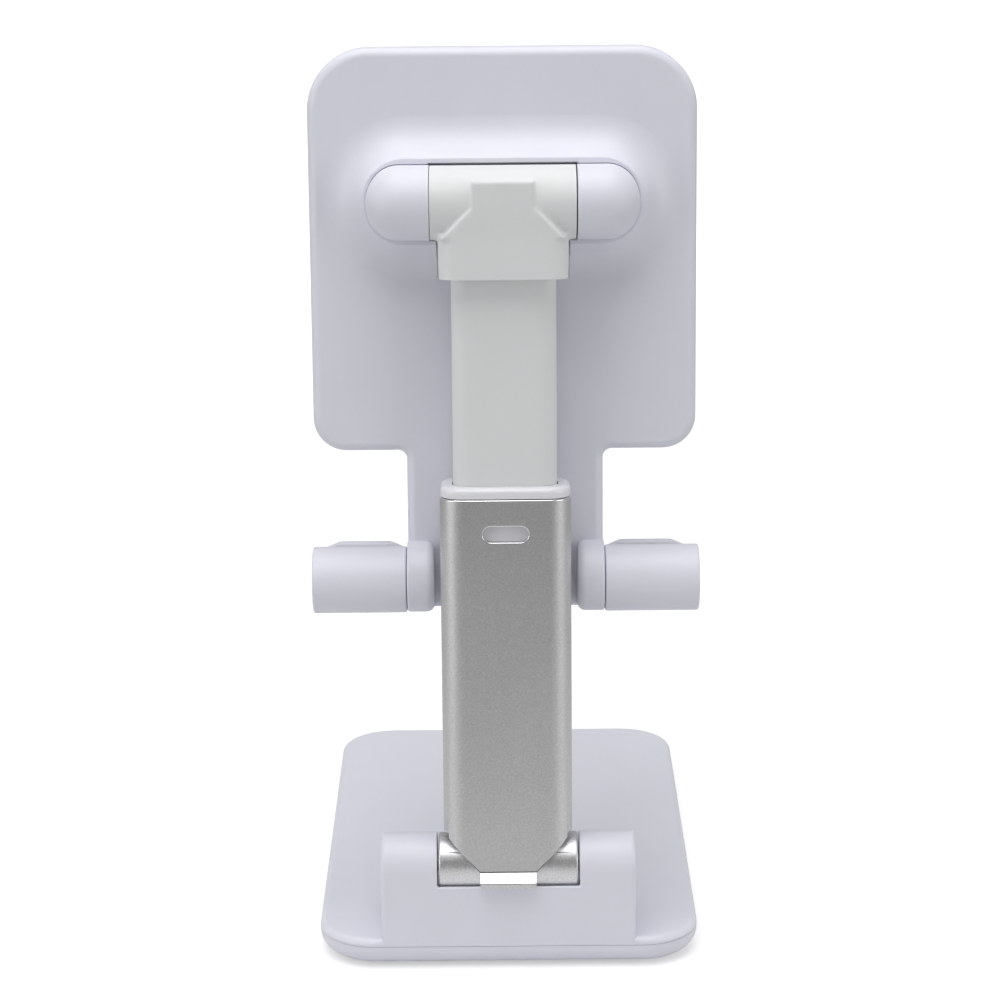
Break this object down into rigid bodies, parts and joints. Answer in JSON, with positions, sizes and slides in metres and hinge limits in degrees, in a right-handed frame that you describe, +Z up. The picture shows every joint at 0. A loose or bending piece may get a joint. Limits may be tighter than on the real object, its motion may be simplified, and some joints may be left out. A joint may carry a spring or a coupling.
{
  "type": "phone stand",
  "caption": "Folding desk phone stand: weighted base, hinged telescopic aluminium arm, tilting tray with soft pad and two fold-up hooks.",
  "frame": {"origin": "centre of the anti-slip pad's underside, on the surface that the stand stands on", "axes": "+Z up; -Y is the front, where the phone rests; +Y is the rear, where the arm's hinge is; +X is the stand's right seen from the front"},
  "size_m": [0.08, 0.122, 0.1886],
  "materials": {
    "base_shell": "satin white ABS, fine moulded texture",
    "tray_shell": "satin white ABS, fine moulded texture",
    "hinge_caps": "satin white ABS",
    "hook": "satin white ABS",
    "arm_white": "matt neutral white ABS",
    "collar": "glossier white ABS",
    "tube": "blasted and clear anodised aluminium",
    "knuckle": "cast zinc, silver finish",
    "hardware": "zinc plated steel",
    "weight": "bare steel plate",
    "soft_pad": "light grey silicone rubber"
  },
  "bodies": {
    "base": {"base_top_shell": "base_shell", "base_bottom_cover": "base_shell", "base_weight": "weight", "base_pad": "soft_pad", "base_screw_1": "hardware", "base_screw_2": "hardware", "base_screw_3": "hardware", "base_screw_4": "hardware", "hinge_bracket": "hardware", "bracket_screw_left": "hardware", "bracket_screw_right": "hardware", "hinge_pin": "hardware", "hinge_spring_washer": "hardware", "hinge_nut": "hardware"},
    "lower_arm": {"outer_tube": "tube", "hinge_knuckle": "knuckle", "tube_collar": "collar"},
    "upper_arm": {"inner_tube": "arm_white", "slide_shoe": "arm_white", "head": "arm_white"},
    "tray": {"tray_back_shell": "tray_shell", "tray_front_panel": "tray_shell", "tray_pad": "soft_pad", "hinge_cap_left": "hinge_caps", "hinge_cap_right": "hinge_caps", "cap_screw_left": "hardware", "cap_screw_right": "hardware", "tray_hinge_pin": "hardware", "tray_hinge_washer_left": "hardware", "tray_hinge_washer_right": "hardware", "tray_screw_1": "hardware", "tray_screw_2": "hardware", "tray_screw_3": "hardware", "tray_screw_4": "hardware", "hook_pin_left": "hardware", "hook_pin_right": "hardware"},
    "left_hook": {"hook_left": "hook", "hook_pad_left": "soft_pad"},
    "right_hook": {"hook_right": "hook", "hook_pad_right": "soft_pad"}
  },
  "joints": [
    {"name": "arm_fold", "type": "hinge", "parent": "base", "child": "lower_arm", "pos_m": [0, 0.0535, 0.0218], "axis": [1, 0, 0], "range_deg": [0, 65]},
    {"name": "height_slide", "type": "slide", "parent": "lower_arm", "child": "upper_arm", "axis": [0, 0.0872, -0.9962], "range_m": [0, 0.04]},
    {"name": "tray_tilt", "type": "hinge", "parent": "upper_arm", "child": "tray", "pos_m": [0, 0.04147, 0.15927], "axis": [1, 0, 0], "range_deg": [-50, 0]},
    {"name": "left_hook_fold", "type": "hinge", "parent": "tray", "child": "left_hook", "pos_m": [-0.03027, 0.04098, 0.08003], "axis": [-1, 0, 0], "range_deg": [0, 90]},
    {"name": "right_hook_fold", "type": "hinge", "parent": "tray", "child": "right_hook", "pos_m": [0.03027, 0.04098, 0.08003], "axis": [-1, 0, 0], "range_deg": [0, 90]}
  ]
}
